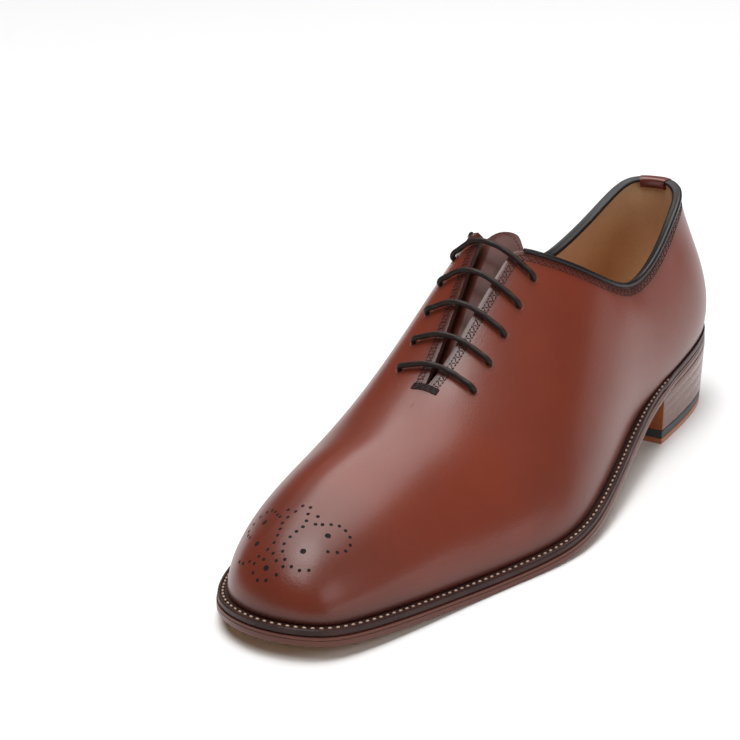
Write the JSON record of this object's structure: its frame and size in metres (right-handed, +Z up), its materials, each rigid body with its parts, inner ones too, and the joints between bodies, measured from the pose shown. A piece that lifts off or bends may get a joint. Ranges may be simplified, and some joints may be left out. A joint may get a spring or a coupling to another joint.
{
  "type": "oxford shoe",
  "caption": "Left whole-cut oxford dress shoe: one-piece red-brown calf upper, straight-bar lacing, punched toe medallion, stitched welt, leather sole and stacked heel.",
  "frame": {"origin": "centre of the bounding box at its bottom, on the floor under the arch", "axes": "+X from heel to toe, +Y towards the wearer's left, which is the outer side of this left shoe, +Z up"},
  "size_m": [0.2968, 0.106, 0.0988],
  "materials": {
    "burnished_calf": "polished box calf, burnished darker at the seams",
    "dark_calf": "polished calf in shadow tone",
    "waxed_cord": "round waxed cotton",
    "binding_leather": "thin black folded leather",
    "welt_leather": "dark dressed edge with light stitches",
    "sole_leather": "brown dressed edge",
    "insole_leather": "tan, matt",
    "heel_leather": "stacked lifts, dressed brown-grey",
    "heel_rubber": "dark grey-green, matt",
    "tan_leather": "orange tan, natural"
  },
  "bodies": {
    "root": {"upper": "burnished_calf", "tongue": "dark_calf", "lace": "waxed_cord", "collar_binding_lateral": "binding_leather", "collar_binding_medial": "binding_leather", "heel_tab": "burnished_calf", "welt": "welt_leather", "outsole": "sole_leather", "insole": "insole_leather", "heel_toplift": "tan_leather", "heel_rubber": "heel_rubber", "heel_stack": "heel_leather"}
  },
  "joints": []
}
